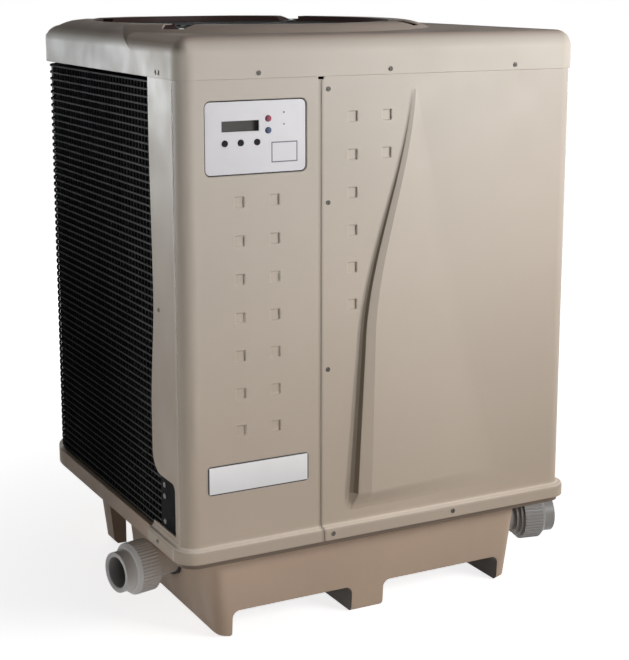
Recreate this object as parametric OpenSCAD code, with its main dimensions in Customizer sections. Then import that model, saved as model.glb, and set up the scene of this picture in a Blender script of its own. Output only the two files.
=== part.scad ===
// Free-standing pool and spa heat pump: a moulded base and cover, a wrap-round finned coil with
// its guard, a top fan, a control corner and a sculpted access panel, with the refrigerant and
// water circuits inside. Millimetres, Z up, front towards -Y, origin on the ground below the middle.

/* [Cabinet] */
// Width across the two flanks
cab_w = 840; // [780:10:1020]
// Depth from the front plane to the rear plane
cab_d = 840; // [780:10:1020]
// Height of the crease where the panels turn out into their foot flange
panel_foot_z = 215; // [200:1:260]
// Height of the cover's lower edge
cover_z = 1068; // [1040:1:1300]
// Plan radius of the front corners
front_r = 28; // [24:1:34]
// Plan radius of the rear corners
rear_r = 150; // [120:1:180]
// Wall of the moulded panels
panel_t = 3; // [2.5:0.1:3.6]
// Overhang of the panels' foot flange
flange_out = 14; // [10:1:20]
// Height of the foot flange
flange_h = 25; // [20:1:30]
// Radius of the foot flange's outer edge
lip_r = 6; // [4:0.5:8]
// Radius of the upright bead beside each front corner
bead_r = 2; // [1:0.1:3]
// Depth of the panels' flanks, from the front plane
flank_d = 158; // [150:1:180]
// Width of the control corner, from the left flank to the seam
control_w = 277; // [270:1:285]
// Gap at the seam between the two panels
seam_gap = 1; // [0.5:0.1:2]
// Width of the strip of the control corner that lies behind the access panel
seam_lap = 30; // [20:1:36]

/* [Base] */
// Height of the band round the drain pan
rim_h = 33; // [30:1:40]
// Overhang of the band past the cabinet's planes
rim_out = 4; // [2:1:8]
// Wall of the band
rim_wall = 12; // [10:1:14]
// Depth of the drain pan below the band's top
pan_depth = 18; // [12:1:20]
// Inset of the plinth's flanks below the band
plinth_side_top = 70; // [60:1:80]
// Inset of the plinth's flanks at the ground
plinth_side_foot = 88; // [80:1:100]
// Inset of the plinth's front below the band
plinth_front_top = 45; // [30:1:55]
// Inset of the plinth's front at the ground
plinth_front_foot = 57; // [50:1:70]
// Inset of the plinth's rear below the band
plinth_rear_top = 138; // [120:1:145]
// Inset of the plinth's rear at the ground
plinth_rear_foot = 150; // [140:1:165]
// Radius of the plinth's upright edges
plinth_r = 26; // [15:1:35]
// Height over which the plinth's foot draws in
foot_round = 8; // [2:1:12]
// Wall of the plinth's front and rear
plinth_wall = 25; // [20:1:27]
// Width of each side runner at the ground
runner_w = 28; // [25:1:34]
// Width of the middle runner
mid_runner_w = 72; // [60:1:90]
// Centre of the middle runner, from the middle of the cabinet
mid_runner_x = -7.5; // [-20:0.5:20]
// Height of the fork gaps between the runners
fork_h = 55; // [45:1:60]
// Corner radius of the fork gaps
fork_r = 15; // [6:1:20]
// Height of the hollow bays inside the plinth
bay_h = 160; // [150:1:164]
// Front edge of the side gaps, from the front plane
side_gap_y = 495; // [460:1:510]
// Width of the side gaps
side_gap_w = 130; // [60:1:135]
// Height of the side gaps
side_gap_h = 158; // [60:1:158]
// Corner radius of the side gaps
side_gap_r = 20; // [8:1:25]

/* [Access panel relief] */
// Greatest height of the sail-shaped relief
sail_h = 22; // [16:1:26]
// Upper tip of the relief above the crease
sail_top_z = 839; // [700:1:845]
// Foot of the relief above the crease
sail_foot_z = 22; // [15:1:40]
// Upper tip of the relief, from the left flank
sail_top_x = 465; // [440:1:500]
// Lower left corner of the relief, from the left flank
sail_foot_x = 325; // [320:1:335]
// Lower right corner of the relief, from the left flank
sail_right_x = 705; // [600:1:760]
// Width of the sloped wall along the relief's left edge
sail_bevel = 25; // [16:1:28]
// Height of the sloped wall along the relief's foot
sail_foot_bevel = 38; // [20:1:50]

/* [Square recesses] */
// Side of each square recess
recess_s = 19; // [12:1:22]
// Depth of each square recess
recess_depth = 3; // [1:0.5:4]
// Spacing of the recesses, both ways
recess_pitch = 70.3; // [60:0.1:71]

/* [Display] */
// Width of the display plate
overlay_w = 197; // [190:1:200]
// Height of the display plate
overlay_h = 128; // [120:1:132]
// Corner radius of the display plate
overlay_r = 10; // [4:1:14]
// Thickness of the display plate
overlay_t = 2.5; // [2:0.1:3]
// Depth of the display's recess behind the panel's wall
display_sink = 1.5; // [0.5:0.1:2]
// Centre of the display plate, from the left flank
overlay_x = 147.5; // [140:0.5:152]
// Centre of the display plate above the crease
overlay_z = 750; // [700:1:760]
// Width of the seal round the display plate
gasket_w = 2; // [1.5:0.5:4]
// Diameter of the push buttons
button_d = 11.6; // [8:0.1:12]
// Travel of the push buttons
button_travel = 1; // [0.5:0.1:1.2]
// Width of the display window
lcd_w = 73; // [60:1:74]
// Height of the display window
lcd_h = 19; // [14:1:22]
// Width of the blank name plate
badge_w = 205; // [120:1:210]
// Height of the blank name plate
badge_h = 55; // [30:1:60]

/* [Top cover] */
// Overhang of the cover past the panels
cover_out = 3.5; // [3:0.1:4]
// Height over which the cover laps the panels
cover_lap = 20; // [16:1:24]
// Height of the cover from its lower edge to its flat top
cover_h = 74; // [70:1:80]
// Rise of the collar round the fan above the flat top
collar_rise = 14; // [8:1:18]
// Width of the collar's flat top
collar_flat = 35; // [32:1:38]
// Bow of the collar's slope
collar_bow = 1.6; // [1.3:0.1:2]

/* [Fan] */
// Fan axis from the left flank
fan_x = 345; // [342:1:460]
// Fan axis from the front plane
fan_y = 480; // [440:1:482]
// Radius of the fan's throat
throat_r = 305; // [250:1:306]
// Gap between the blade tips and the throat
tip_gap = 13; // [6:1:20]
// Number of blades
blade_count = 4; // [3:1:4]
// Pitch angle of the blades
blade_pitch = 12; // [10:1:13]
// Thickness of the blades
blade_t = 2.5; // [2:0.1:4]
// Radius of the moulded fan hub
fan_hub_r = 62; // [60:1:70]
// Radius of the fan shaft
fan_shaft_r = 6.35; // [5:0.05:8]
// Radius of the fan motor
motor_r = 70; // [60:1:80]
// Height of the fan motor
motor_h = 125; // [100:1:160]
// Number of rings in the fan guard
guard_rings = 11; // [8:1:12]
// Radius of the guard's wires
guard_wire_r = 2.5; // [2:0.1:3]

/* [Coil] */
// Depth of the finned coil
coil_t = 44; // [30:1:48]
// Gap between the guard's stays and the coil
coil_gap = 0.8; // [0.5:0.1:5]
// Front end of the coil, from the front plane
coil_y = 50; // [46:1:60]
// Thickness of the coil's end plates
plate_t = 2; // [1.5:0.1:2]
// Spacing of the guard's level bars
bar_pitch = 14.2; // [12:0.1:20]
// Thickness of the guard's bars
bar_t = 3; // [2:0.1:3]
// Spacing of the guard's upright stays
stay_pitch = 16; // [14:1:60]

/* [Compressor] */
// Radius of the compressor's shell
comp_r = 82; // [70:1:85]
// Height of the compressor's shell
comp_h = 410; // [350:1:415]
// Compressor axis from the middle of the cabinet
comp_x = 170; // [165:1:175]
// Compressor axis from the front plane
comp_y = 525; // [500:1:540]
// Height of the rubber feet
grommet_h = 16; // [12:1:20]

/* [Water circuit] */
// Height of the water connections above the ground
water_z = 105; // [95:1:110]
// Left water connection from the front plane
water_left_y = 270; // [250:1:300]
// Right water connection from the front plane
water_right_y = 162; // [150:1:175]
// Reach of the water connections past the flanks
union_reach = 55; // [50:1:60]
// Turn of both unions towards the front
union_splay = 12; // [0:1:14]
// Outer radius of the water pipe
pipe_r = 30.15; // [30:0.05:30.2]
// Wall of the water pipe
pipe_wall = 3.9; // [3:0.1:5]
// Depth of the union's pipe socket
socket_depth = 38; // [30:1:38]
// Radius of the union's pipe socket
socket_r = 30.2; // [30.1:0.05:30.4]
// Outer radius of the union's tail and body
union_r = 40; // [37:0.5:41]
// Outer radius of the union's thread
thread_r = 45; // [43.5:0.5:46]
// Outer radius of the union's nut at the foot of its ribs
nut_r = 50; // [48.5:0.5:51]
// Number of grip ribs on the nut
nut_ribs = 48; // [12:1:54]
// Radius of the heat exchanger's shell
hx_r = 105; // [90:1:106]
// Height of the heat exchanger's shell
hx_h = 520; // [515:1:560]
// Heat exchanger axis from the middle of the cabinet
hx_x = -40; // [-45:1:-35]

/* [Refrigerant lines] */
// Radius of the discharge line
discharge_r = 6.5; // [5:0.5:8]
// Radius of the suction line
suction_r = 11; // [8:0.5:12]
// Radius of the liquid line
liquid_r = 5; // [4:0.5:6]

/* [Control box] */
// Width of the control box
box_w = 190; // [185:1:200]
// Height of the control box
box_h = 470; // [460:1:480]
// Depth of the control box
box_d = 105; // [100:1:110]
// Sheet thickness of the control box
box_t = 1.5; // [1:0.1:2]

/* [Fasteners] */
// Radius of the panel screws' shanks
screw_r = 2.4; // [2:0.1:3]
// Radius of the panel screws' heads
screw_head_r = 4.5; // [4:0.1:6]

/* [Hidden] */
$fn = 64;
// running clearance between pieces that move or slip together
clear = 0.3;
// clearance of a fastener or a fixed round fit
fit = 0.1;
// overlap that keeps a cut clear of the faces it passes
over = 1;

hw = cab_w / 2;
front_reach = max(flange_out, sail_h);
front_y = front_reach - (cab_d + front_reach + rim_out) / 2;
rear_y = front_y + cab_d;
// places measured from the left flank, the front plane and the crease
function fx(x) = x - hw;
function fy(y) = front_y + y;
function fz(z) = panel_foot_z + z;

base_h = panel_foot_z - panel_t;
pan_z = base_h - pan_depth;
panel_top_z = cover_z + cover_lap;
seam_x = fx(control_w);
lap_y = front_y + panel_t;

cover_top_z = cover_z + cover_h;
cover_edge_r = front_r + cover_out;
cover_t = cover_out + panel_t;
collar_z = cover_top_z + collar_rise;
fan_axis = [fx(fan_x), fy(fan_y)];
throat_t = 4;
throat_z = cover_z - 2;
ear_r = throat_r + 26;
ear_angles = [45, 135, 225, 315];

coil_top_z = throat_z - 6;
guard_inset = panel_t + clear;
stay_r = 1;
stay_inset = guard_inset + bar_t + fit + stay_r;
coil_inset = stay_inset + stay_r + coil_gap;
plate_flange_y = coil_y + 74;
plate_web_y = coil_y - plate_t;
plate_in = coil_inset + coil_t + 1;
bar_y = plate_flange_y + over;

pipe_in_r = pipe_r - pipe_wall;
grommet_bore_r = pipe_r + 5;
riser_x = hw - 165;
pipe_bend = 50;
water_y = [fy(water_left_y), fy(water_right_y)];
hx_y = water_y[0];
hx_z = pan_z + 46;
hx_low_z = hx_z + 60;
hx_high_z = hx_z + 440;
hx_port_reach = 35;
hx_out_z = hx_z + 90;
hx_top_z = hx_z + hx_h;
hx_dome = 35;

comp_base_z = pan_z + grommet_h;
comp_foot_t = 4;
comp_top_z = comp_base_z + comp_foot_t + comp_h;
comp_at = [comp_x, fy(comp_y)];
comp_foot = 80;
comp_dome = 40;
suction_z = comp_base_z + 210;

union_end = hw + union_reach;
bore_x = hw - plinth_side_foot + (plinth_side_foot - plinth_side_top) * water_z / (base_h - rim_h);
bore_d = (bore_x - riser_x + grommet_bore_r * sin(union_splay)) / cos(union_splay);
union_len = (union_end - riser_x) / cos(union_splay) - bore_d;
mouth = 2;
tail_len = socket_depth + mouth + 4;
tail_flange_r = thread_r - 1;
tail_flange_t = 6;
seal_t = 2;
nut_lip = 14;

display_floor_y = front_y + panel_t + display_sink;
pad_t = 3;
pad_back_y = display_floor_y + pad_t;
button_hole_r = button_d / 2 + clear;
button_flange_t = 1.2;
button_tail = button_flange_t + clear + 0.7;
board_y = pad_back_y + button_tail + button_travel + clear + 1.5;
board_t = 1.6;
button_x = [87, 118, 150];
button_z = 741;
mode_x = 172;
mode_z = [782, 761];
led_x = 203;
led_z = [792, 771];
led_r = 1.6;
lcd_x = 117.5;
lcd_z = 770.5;
lcd_sink = 0.5;
badge_x = 147.5;
badge_z = 126.5;
badge_t = 1.5;

box_x = -(hw - plate_in - plate_t);
box_y = fy(30);
box_z = fz(345);
box_back_y = box_y + box_d;

access_screw_x = control_w + 15;
access_screw_z = [830, 623, 308];
flange_screw_x = [control_w + 20, 567];
flange_screw_side_y = 105;
flange_screw_z = -12;
cover_screw_x = [151, 420, 697];
cover_screw_y = [83, 97];
cover_screw_z = cover_z + cover_lap / 2;
flank_screw_y = 112;
flank_screw_z = 430;
plate_bolt_y = 106;
plate_bolt_z = [96, 74, 24];
left_columns = [113, 183];
left_top_z = 636;
left_rows = 7;
right_columns = [[343, 6], [415, 2]];
right_top_z = 779;
drain_at = [0, rear_y - 75];
drain_r = 10;
conduit_at = [-200, fy(115)];
conduit_r = 11;

// Rounded plan outline of the cabinet, grown or shrunk by g
module plan(g) {
    x = hw + g;
    rf = front_r + g;
    rr = rear_r + g;
    y0 = front_y - g;
    y1 = rear_y + g;
    translate([-x, y0 + rf]) square([2 * x, y1 - rr - y0 - rf]);
    translate([-x + rf, y0]) square([2 * x - 2 * rf, rf]);
    for (s = [-1, 1]) translate([s * (x - rf), y0 + rf]) circle(rf);
    rear_round(x, y1, rr);
}

// Rear edge of a plan outline with its two round corners
module rear_round(x, y1, r) {
    translate([-x + r, y1 - r]) square([2 * x - 2 * r, r]);
    for (s = [-1, 1]) translate([s * (x - r), y1 - r]) circle(r);
}

// Plan with square front corners and round rear ones, inset by i and starting at y0
module u_plan(i, y0) {
    x = hw - i;
    y1 = rear_y - i;
    r = rear_r - i;
    translate([-x, y0]) square([2 * x, y1 - r - y0]);
    rear_round(x, y1, r);
}

// U-shaped band that follows the flanks and the rear
module u_band(i, t, y0) difference() {
    u_plan(i, y0);
    u_plan(i + t, y0 - over);
}

module rounded_square(w, h, r) {
    square([w - 2 * r, h], center = true);
    square([w, h - 2 * r], center = true);
    for (sx = [-1, 1], sy = [-1, 1]) translate([sx * (w / 2 - r), sy * (h / 2 - r)]) circle(r);
}

// Child shapes stand out of a wall: local Z points out of the cabinet
module on_front(x, z, y = front_y) translate([x, y, z]) rotate([90, 0, 0]) children();
module on_left(y, z, x = -hw) translate([x, y, z]) rotate([0, -90, 0]) children();
module on_right(y, z, x = hw) translate([x, y, z]) rotate([0, 90, 0]) children();

// Extrudes a side outline, drawn as Y and Z, across the cabinet from x0 to x1
module across(x0, x1) translate([x0, 0, 0]) rotate([90, 0, 90]) linear_extrude(x1 - x0) children();

// Screw with a washer head and a hexagon socket
module screw(len, r = screw_r, head_r = screw_head_r) difference() {
    union() {
        translate([0, 0, -len]) cylinder(r = r, h = len);
        cylinder(r = head_r, h = 0.9);
        cylinder(r1 = head_r * 0.82, r2 = head_r * 0.7, h = 2.2);
    }
    translate([0, 0, over]) cylinder(r = head_r * 0.4, h = 2 * over, $fn = 6);
}

module screw_hole(len, r = screw_r) translate([0, 0, -len]) cylinder(r = r + fit, h = len + over);

module tube(r, wall, h) difference() {
    cylinder(r = r, h = h);
    translate([0, 0, -over]) cylinder(r = r - wall, h = h + 2 * over);
}

// An edge profile run along a side, and turned round a corner: profile X points inwards
module edge_run(at, turn, len) translate(at) rotate([0, 0, turn]) rotate([90, 0, 0])
    linear_extrude(len) children();
module edge_corner(at, turn, r) translate(at) rotate([0, 0, turn]) rotate_extrude(angle = 90)
    translate([r, 0]) mirror([1, 0]) children();

// Upright opening with two round upper corners, standing on the ground
module arch(x0, w, h, r) {
    translate([x0, -over]) square([w, h - r + over]);
    translate([x0 + r, -over]) square([w - 2 * r, h + over]);
    for (x = [x0 + r, x0 + w - r]) translate([x, h - r]) circle(r);
}

// Round bar or pipe along a list of points with square bends
function unit(a) = a / norm(a);
function side_axis(d) = abs(d.z) < 0.5 ? [0, 0, 1] : [1, 0, 0];
module in_frame(x, y, z, at) multmatrix([
    [x.x, y.x, z.x, at.x],
    [x.y, y.y, z.y, at.y],
    [x.z, y.z, z.z, at.z],
    [0, 0, 0, 1]
]) children();

module pipe_run(p, r, bend) {
    last = len(p) - 1;
    for (i = [0 : last - 1]) {
        d = unit(p[i + 1] - p[i]);
        start = p[i] + (i > 0 ? bend : 0) * d;
        end = p[i + 1] - (i < last - 1 ? bend : 0) * d;
        u = side_axis(d);
        in_frame(u, cross(d, u), d, start) cylinder(r = r, h = norm(end - start));
    }
    for (i = [1 : 1 : last - 1]) {
        a = unit(p[i] - p[i - 1]);
        b = unit(p[i + 1] - p[i]);
        in_frame(-b, a, cross(-b, a), p[i] - bend * a + bend * b)
            rotate_extrude(angle = 90) translate([bend, 0]) circle(r);
    }
}

// Where each group of panel fasteners goes through
module access_screw_places() for (z = access_screw_z) on_front(fx(access_screw_x), fz(z)) children();
module flange_screw_places() {
    for (x = flange_screw_x) on_front(fx(x), fz(flange_screw_z), front_y - flange_out) children();
    on_left(fy(flange_screw_side_y), fz(flange_screw_z), -hw - flange_out) children();
    on_right(fy(flange_screw_side_y), fz(flange_screw_z), hw + flange_out) children();
}
module cover_screw_places() {
    for (x = cover_screw_x) on_front(fx(x), cover_screw_z, front_y - cover_out) children();
    for (y = cover_screw_y) {
        on_left(fy(y), cover_screw_z, -hw - cover_out) children();
        on_right(fy(y), cover_screw_z, hw + cover_out) children();
    }
}
module flank_screw_places() {
    on_left(fy(flank_screw_y), fz(flank_screw_z)) children();
    on_right(fy(flank_screw_y), fz(flank_screw_z)) children();
}
module plate_bolt_places() for (z = plate_bolt_z)
    on_left(fy(plate_bolt_y), fz(z), -hw + panel_t) children();
module ear_places() for (a = ear_angles)
    translate([fan_axis.x, fan_axis.y, 0]) rotate([0, 0, a]) translate([ear_r, 0, 0]) children();

flange_screw_len = flange_out - rim_out + rim_wall - 3;
cover_screw_len = cover_out + panel_t + 6;
access_screw_len = 2 * panel_t + 4;
flank_screw_len = panel_t + plate_t + 3;

// Base: drain pan on a tapered plinth with three runners
foot_insets = [plinth_side_foot, plinth_front_foot, plinth_rear_foot];
module plinth_ring(insets, z) {
    for (sx = [-1, 1], y = [fy(insets[1] + plinth_r), rear_y - insets[2] - plinth_r])
        translate([sx * (hw - insets[0] - plinth_r), y, z]) cylinder(r = plinth_r, h = over, $fn = 32);
}

module plinth_bays() {
    inner = hw - plinth_side_foot - runner_w;
    y0 = fy(plinth_front_foot + plinth_wall);
    y1 = rear_y - plinth_rear_foot - plinth_wall;
    mid = [mid_runner_x - mid_runner_w / 2, mid_runner_x + mid_runner_w / 2];
    for (b = [[-inner, mid[0]], [mid[1], inner]]) {
        translate([b[0], y0, -over]) cube([b[1] - b[0], y1 - y0, bay_h + over]);
        translate([0, rear_y, 0]) rotate([90, 0, 0]) linear_extrude(cab_d)
            arch(b[0], b[1] - b[0], fork_h, fork_r);
    }
}

module side_gap() arch(fy(side_gap_y), side_gap_w, side_gap_h, side_gap_r);

module base_pan() color("#a08c78") difference() {
    union() {
        hull() {
            plinth_ring(foot_insets + [1, 1, 1] * foot_round, 0);
            plinth_ring(foot_insets, foot_round);
            plinth_ring([plinth_side_top, plinth_front_top, plinth_rear_top], base_h - rim_h + 2);
        }
        translate([0, 0, base_h - rim_h]) linear_extrude(rim_h) plan(rim_out);
    }
    translate([0, 0, pan_z]) linear_extrude(pan_depth + over) plan(rim_out - rim_wall);
    plinth_bays();
    across(-hw, -hw + plinth_side_foot + runner_w + over) side_gap();
    across(hw - plinth_side_foot - runner_w - over, hw) side_gap();
    each_union() translate([0, 0, -grommet_len - 30]) cylinder(r = grommet_bore_r, h = grommet_len + 60);
    for (s = [0, 1]) translate([(2 * s - 1) * riser_x, water_y[s], bay_h - over])
        cylinder(r = pipe_r + clear, h = pan_z - bay_h + 2 * over);
    translate([drain_at.x, drain_at.y, 0]) cylinder(r = drain_r + fit, h = base_h);
    translate([conduit_at.x, conduit_at.y, 0]) cylinder(r = conduit_r + fit, h = base_h);
    flange_screw_places() screw_hole(flange_screw_len + over);
}

// Panels: a wall that follows the plan, a shelf over the base's band and a skirt outside it
module panel_zone(x0, x1, depth) translate([x0, front_y - hw]) square([x1 - x0, hw + depth]);

module panel_shell(x0, x1) {
    translate([0, 0, base_h]) linear_extrude(panel_top_z - base_h) intersection() {
        difference() { plan(0); plan(-panel_t); }
        panel_zone(x0, x1, flank_d);
    }
    intersection() {
        foot_flange();
        linear_extrude(cover_z) panel_zone(x0, x1, flank_d);
    }
    for (s = [-1, 1]) if (x0 < s * hw && s * hw < x1)
        translate([s * hw, fy(front_r + bead_r), panel_foot_z])
            cylinder(r = bead_r, h = cover_z - panel_foot_z);
}

// Foot flange: a cove out of the wall, a round lip and a skirt outside the base's band
module foot_edge() {
    cove_r = flange_out - lip_r;
    difference() {
        union() {
            translate([0, panel_foot_z - flange_h]) square([panel_t, flange_h - lip_r]);
            translate([lip_r, panel_foot_z - lip_r]) circle(lip_r);
            translate([lip_r, base_h]) square([cove_r + panel_t, panel_t]);
            translate([lip_r, panel_foot_z]) square([cove_r, cove_r]);
        }
        translate([lip_r, panel_foot_z + cove_r]) circle(cove_r);
        translate([panel_t, panel_foot_z - flange_h]) square([flange_out, flange_h - panel_t]);
    }
}

module foot_flange() {
    x = hw + flange_out;
    r = front_r + flange_out;
    y0 = front_y - flange_out;
    edge_run([-x + r, y0, 0], 90, 2 * (x - r)) foot_edge();
    for (s = [0, 1]) mirror([s, 0, 0]) {
        edge_run([-x, fy(flank_d), 0], 0, flank_d - front_r) foot_edge();
        edge_corner([-x + r, y0 + r, 0], 180, r) foot_edge();
    }
}

// Small opening at the head of the seam, just below the cover
module seam_notch() translate([seam_x - 6, front_y - over, cover_z - 5]) cube([12, panel_t + 2 * over, 8]);

module recess_back(x, z) translate([x - recess_s / 2 - 2, front_y + 1, z - recess_s / 2 - 2])
    cube([recess_s + 4, recess_depth + 1.5, recess_s + 4]);
module recess_cut(x, z) translate([x - recess_s / 2, front_y - over, z - recess_s / 2])
    cube([recess_s, recess_depth + over, recess_s]);
module left_recesses() for (x = left_columns, k = [0 : left_rows - 1])
    children_at(fx(x), fz(left_top_z - recess_pitch * k)) children();
module right_recesses() for (c = right_columns, k = [0 : c[1] - 1])
    children_at(fx(c[0]), fz(right_top_z - recess_pitch * k)) children();
module children_at(x, z) translate([x, 0, z]) children();

// Outline that trims the left flank: a waved rear edge and an opening with round corners at its foot
flank_waist = 20;
foot_cut_y = 49;
foot_cut_z = [12, 112];
foot_cut_r = [14, 40];
function ease(t) = t <= 0 ? 0 : t >= 1 ? 1 : t * t * (3 - 2 * t);
function flank_edge(z) = flank_d - 1 - flank_waist * ease((z - 230) / 220) + 7 * ease((z - 460) / 300);

module flank_cut() translate([front_y, panel_foot_z]) {
    far = flank_d + 50;
    top = panel_top_z - panel_foot_z + over;
    z0 = foot_cut_z[1] + foot_cut_r[1];
    steps = 24;
    polygon(concat(
        [for (k = [0 : steps]) let (z = z0 + (top - z0) * k / steps) [flank_edge(z), z]],
        [[far, top], [far, z0]]
    ));
    difference() {
        translate([foot_cut_y, foot_cut_z[0]]) square([far - foot_cut_y, foot_cut_z[1] - foot_cut_z[0]]);
        translate([foot_cut_y, foot_cut_z[1] - foot_cut_r[0]]) difference() {
            square([foot_cut_r[0], foot_cut_r[0] + over]);
            translate([foot_cut_r[0], 0]) circle(foot_cut_r[0]);
        }
    }
    edge = flank_edge(0);
    difference() {
        translate([edge - foot_cut_r[1], foot_cut_z[1] - over])
            square([far - edge + foot_cut_r[1], foot_cut_r[1] + over]);
        translate([edge - foot_cut_r[1], z0]) circle(foot_cut_r[1]);
    }
}

module control_corner_panel() color("#cbc1b4") difference() {
    gap = gasket_w + clear;
    union() {
        panel_shell(-hw - flange_out - over, seam_x - seam_gap / 2);
        translate([seam_x - seam_gap / 2 - 20, lap_y, base_h])
            cube([20 + seam_lap, panel_t, cover_z - base_h - 12]);
        left_recesses() recess_back(0, 0);
        on_front(fx(overlay_x), fz(overlay_z), pad_back_y) linear_extrude(pad_back_y - front_y - over)
            rounded_square(overlay_w + 20, overlay_h + 20, overlay_r + 8);
    }
    left_recesses() recess_cut(0, 0);
    across(-hw - over, -hw + front_r) flank_cut();
    on_front(fx(overlay_x), fz(overlay_z), display_floor_y) linear_extrude(display_floor_y - front_y + over)
        rounded_square(overlay_w + 2 * gap, overlay_h + 2 * gap, overlay_r + gap);
    in_display(lcd_x, lcd_z) translate([-lcd_w / 2 - fit, -lcd_h / 2 - fit, -pad_t - over])
        cube([lcd_w + 2 * fit, lcd_h + 2 * fit, pad_t + 2 * over]);
    seam_notch();
    for (x = button_x) on_front(fx(x), fz(button_z), pad_back_y + over) button_bore();
    for (z = mode_z) on_front(fx(mode_x), fz(z), pad_back_y + over) button_bore();
    access_screw_places() screw_hole(access_screw_len);
    flange_screw_places() screw_hole(flange_screw_len);
    cover_screw_places() screw_hole(cover_screw_len);
    flank_screw_places() screw_hole(flank_screw_len);
}

module button_bore() cylinder(r = button_hole_r, h = pad_t + panel_t + 2 * over);

// Relief of the access panel: a curved left edge, a crest just inside it and a long fade to the right
sail_rows = 32;
sail_cols = 14;
sail_sunk = 0.5;
sail_root = 2;
wall_steps = [0, 0.4, 0.65, 0.85, 2];
wall_rise = [0, 0.1, 0.36, 0.82, 1];
foot_steps = [0, 0.3, 0.6, 0.85, 1];
foot_rise = [0, 0.2, 0.55, 0.88, 1];
steps = len(wall_steps) - 1;
sail_len = sail_top_z - sail_foot_z;
function sail_t(i) = i <= steps ? foot_steps[i] * sail_foot_bevel / sail_len
    : let (t0 = sail_foot_bevel / sail_len) t0 + (1 - t0) * (i - steps) / (sail_rows - steps);
function sail_sweep(t) = 0.47 * t + 0.53 * ease((t - 0.42) / 0.58);
function sail_left(t) = sail_foot_x + (sail_top_x - sail_foot_x) * sail_sweep(t);
function sail_right(t) = sail_right_x + (sail_top_x + 12 - sail_right_x) * t;
function sail_crest(i) = sail_h * (i <= steps ? foot_rise[i]
    : pow((1 - sail_t(i)) / (1 - sail_t(steps)), 0.9));
function sail_wall(t) = sail_bevel * (0.25 + 0.75 * (1 - t));
function sail_x(i, j) = let (t = sail_t(i), x0 = sail_left(t), x1 = x0 + wall_steps[steps] * sail_wall(t))
    j <= steps ? x0 + wall_steps[j] * sail_wall(t)
    : x1 + (sail_right(t) - x1) * (j - steps) / (sail_cols - steps);
function sail_y(i, j) = let (w = (j - steps) / (sail_cols - steps))
    i == 0 || i == sail_rows || j == 0 ? -sail_sunk
    : sail_crest(i) * (j <= steps ? wall_rise[j] : pow(1 - w, 1.1)) - sail_sunk * max(0, w);
function sail_z(i) = sail_foot_z + sail_len * sail_t(i);
function sail_point(i, j) = [fx(sail_x(i, j)), front_y - sail_y(i, j), fz(sail_z(i))];

module sail() {
    row = sail_cols + 1;
    rim = concat(
        [for (j = [0 : sail_cols]) j],
        [for (i = [1 : sail_rows]) i * row + sail_cols],
        [for (j = [sail_cols - 1 : -1 : 0]) sail_rows * row + j],
        [for (i = [sail_rows - 1 : -1 : 1]) i * row]
    );
    skin = [for (i = [0 : sail_rows], j = [0 : sail_cols]) sail_point(i, j)];
    back = [for (p = skin) [p.x, front_y + sail_root, p.z]];
    n = len(rim);
    m = len(skin);
    cells = [for (i = [0 : sail_rows - 1], j = [0 : sail_cols - 1]) i * row + j];
    polyhedron(concat(skin, back), concat(
        [for (c = cells) [c, c + row, c + row + 1]],
        [for (c = cells) [c, c + row + 1, c + 1]],
        [for (c = cells) [m + c, m + c + row + 1, m + c + row]],
        [for (c = cells) [m + c, m + c + 1, m + c + row + 1]],
        [for (k = [0 : n - 1]) [rim[k], rim[(k + 1) % n], m + rim[(k + 1) % n]]],
        [for (k = [0 : n - 1]) [rim[k], m + rim[(k + 1) % n], m + rim[k]]]
    ), convexity = 4);
}

module access_panel() color("#cbc1b4") difference() {
    union() {
        panel_shell(seam_x + seam_gap / 2, hw + flange_out + over);
        right_recesses() recess_back(0, 0);
        sail();
    }
    translate([0, panel_t, 0]) sail();
    seam_notch();
    right_recesses() recess_cut(0, 0);
    access_screw_places() screw_hole(access_screw_len);
    flange_screw_places() screw_hole(flange_screw_len);
    cover_screw_places() screw_hole(cover_screw_len);
    flank_screw_places() screw_hole(flank_screw_len);
}

// Cover: one edge profile run along the sides and turned round the corners, a flat top and a collar
module cover_edge() {
    r = cover_edge_r;
    step = cover_top_z - r;
    translate([0, cover_z]) square([cover_out - clear, cover_lap]);
    translate([0, panel_top_z]) square([cover_t, step - panel_top_z]);
    translate([r, step]) intersection() {
        difference() { circle(r); circle(r - cover_t); }
        translate([-r, 0]) square(r);
    }
}

module cover_dome(half) {
    r = cover_edge_r + collar_rise;
    step = cover_top_z - cover_edge_r;
    translate([-half, step - r]) square([2 * half, r]);
    translate([-half + r, step]) square([2 * half - 2 * r, r]);
    for (s = [-1, 1]) translate([s * (half - r), step]) circle(r);
}

// Section of the collar: a flat ring round the throat that curves down into the cover's round edges
collar_steps = 8;
module collar_section(far) {
    flat = throat_r + collar_flat;
    drop = collar_rise + cover_edge_r;
    polygon(concat(
        [[throat_r, collar_z - drop]],
        [for (k = [collar_steps : -1 : 0]) let (t = k / collar_steps)
            [flat + (far - flat) * t, collar_z - drop * pow(t, collar_bow)]],
        [[throat_r, collar_z]]
    ));
}

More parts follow.
